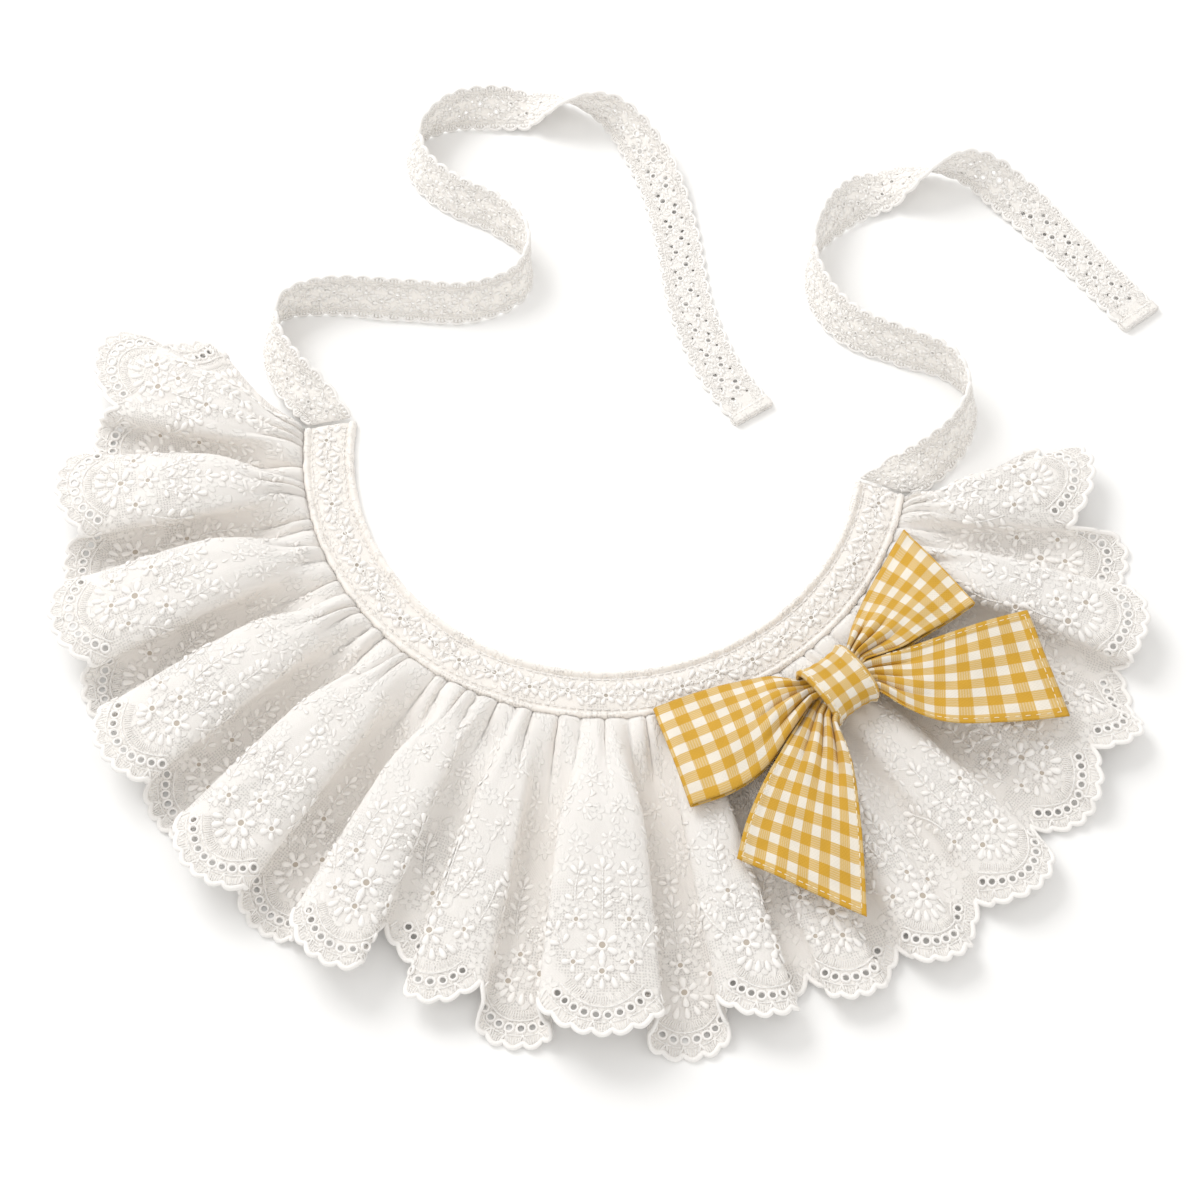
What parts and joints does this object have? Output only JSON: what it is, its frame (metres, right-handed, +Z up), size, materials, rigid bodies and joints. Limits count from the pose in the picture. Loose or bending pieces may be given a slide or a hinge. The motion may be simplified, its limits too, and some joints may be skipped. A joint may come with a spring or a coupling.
{
  "type": "lace bib collar",
  "caption": "Child's gathered lace bib collar laid flat, with a curved neckband, a fluted scalloped ruffle, loose tape ties and a gingham check bow.",
  "frame": {"origin": "middle of the collar's box, on the surface that it lies on", "axes": "+Z up from the surface, +Y from the front of the bib to the neck opening and the ties, +X to the side that carries the bow"},
  "size_m": [0.3118, 0.3094, 0.0184],
  "materials": {
    "neckband_lace": "embroidered cotton band with rolled, topstitched edges",
    "ruffle_lace": "fine cotton lawn with eyelet embroidery and a corded scalloped hem",
    "tie_lace": "woven cotton lace tape with picot edges",
    "gingham": "mustard and white woven check, plain weave"
  },
  "bodies": {
    "root": {"neckband": "neckband_lace", "ruffle": "ruffle_lace", "tie_left": "tie_lace", "tie_right": "tie_lace", "bow_loop_left": "gingham", "bow_loop_top": "gingham", "bow_tail_right": "gingham", "bow_tail_lower": "gingham", "bow_knot": "gingham"}
  },
  "joints": []
}
